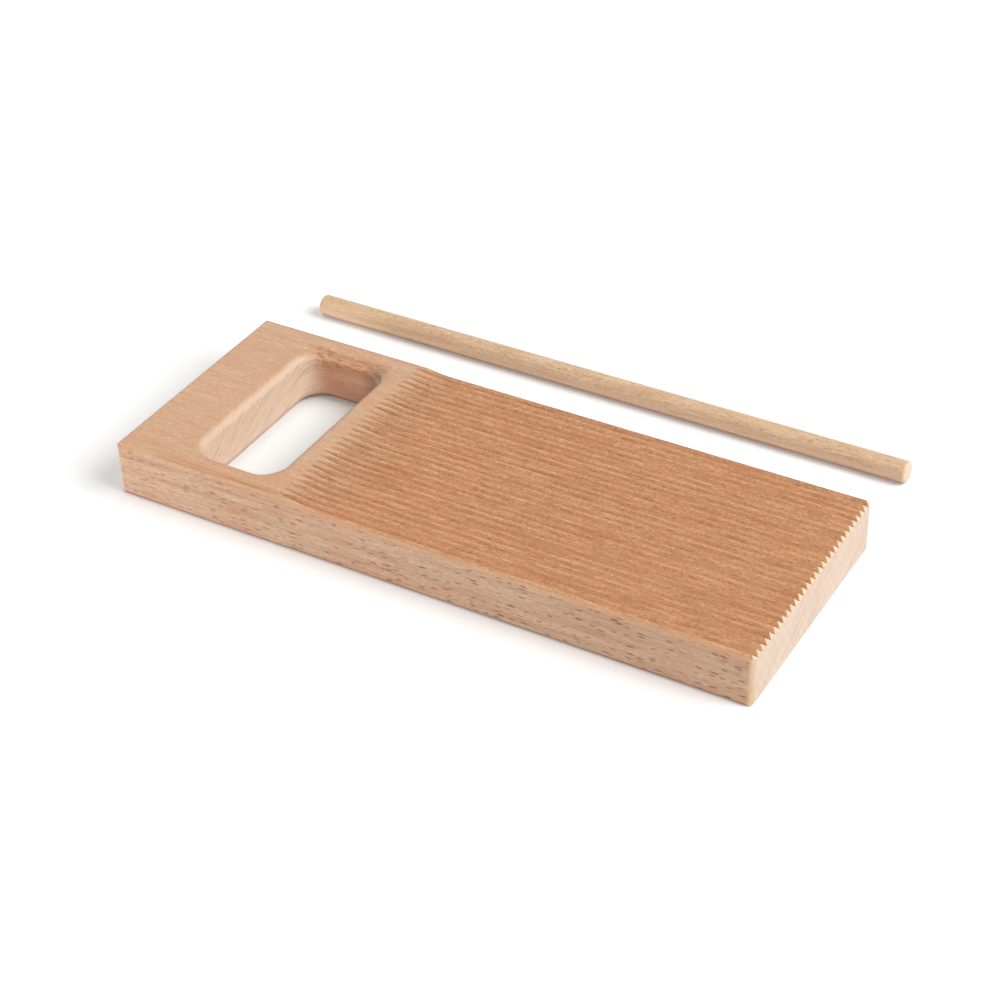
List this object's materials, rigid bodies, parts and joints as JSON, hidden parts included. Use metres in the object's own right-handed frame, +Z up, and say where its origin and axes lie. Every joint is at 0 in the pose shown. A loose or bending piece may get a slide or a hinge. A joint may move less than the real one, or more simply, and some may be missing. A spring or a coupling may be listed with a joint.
{
  "type": "gnocchi board",
  "caption": "Flat wooden board with lengthwise ridges and a grip slot, with a loose dowel, for rolling gnocchi and garganelli.",
  "frame": {"origin": "centre of the board's underside, on the surface that the board lies on", "axes": "+X along the board from the handle to the ridged end, +Y across it towards the dowel, +Z up out of the ridged face"},
  "size_m": [0.2382, 0.1335, 0.02],
  "materials": {
    "board_beech": "bare planed beech, fine sanded",
    "dowel_beech": "bare turned beech, fine sanded"
  },
  "bodies": {
    "board": {"grooved_board": "board_beech"},
    "dowel": {"rolling_dowel": "dowel_beech"}
  },
  "joints": [
    {"name": "dowel_lift", "type": "slide", "parent": "board", "child": "dowel", "axis": [0, 0, 1], "range_m": [0, 0.12]}
  ]
}
